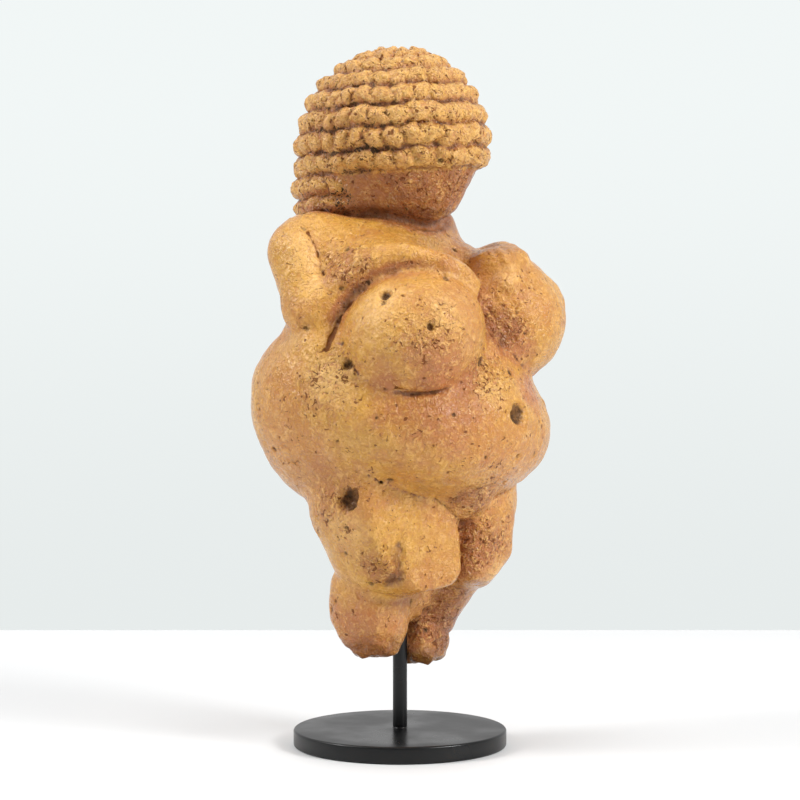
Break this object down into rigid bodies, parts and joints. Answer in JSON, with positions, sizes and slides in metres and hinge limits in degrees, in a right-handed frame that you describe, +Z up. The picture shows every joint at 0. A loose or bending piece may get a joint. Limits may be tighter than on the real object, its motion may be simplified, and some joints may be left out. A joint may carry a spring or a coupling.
{
  "type": "venus figurine",
  "caption": "Cast resin figurine of a heavy, faceless standing woman with a cap of knobbed curls, held over a round black steel foot by a thin steel rod between its calves.",
  "frame": {"origin": "centre of the foot's underside, on the ground, on the rod's axis", "axes": "+Z up the rod; -Y the way the figure faces; +X to the figure's own left"},
  "size_m": [0.0552, 0.0469, 0.1253],
  "materials": {
    "figure_resin": "stone-filled casting resin, toned ochre yellow with red-brown wash in the hollows, satin",
    "stand_paint": "satin black paint on steel"
  },
  "bodies": {
    "root": {"figurine": "figure_resin", "rod": "stand_paint", "foot": "stand_paint"}
  },
  "joints": []
}
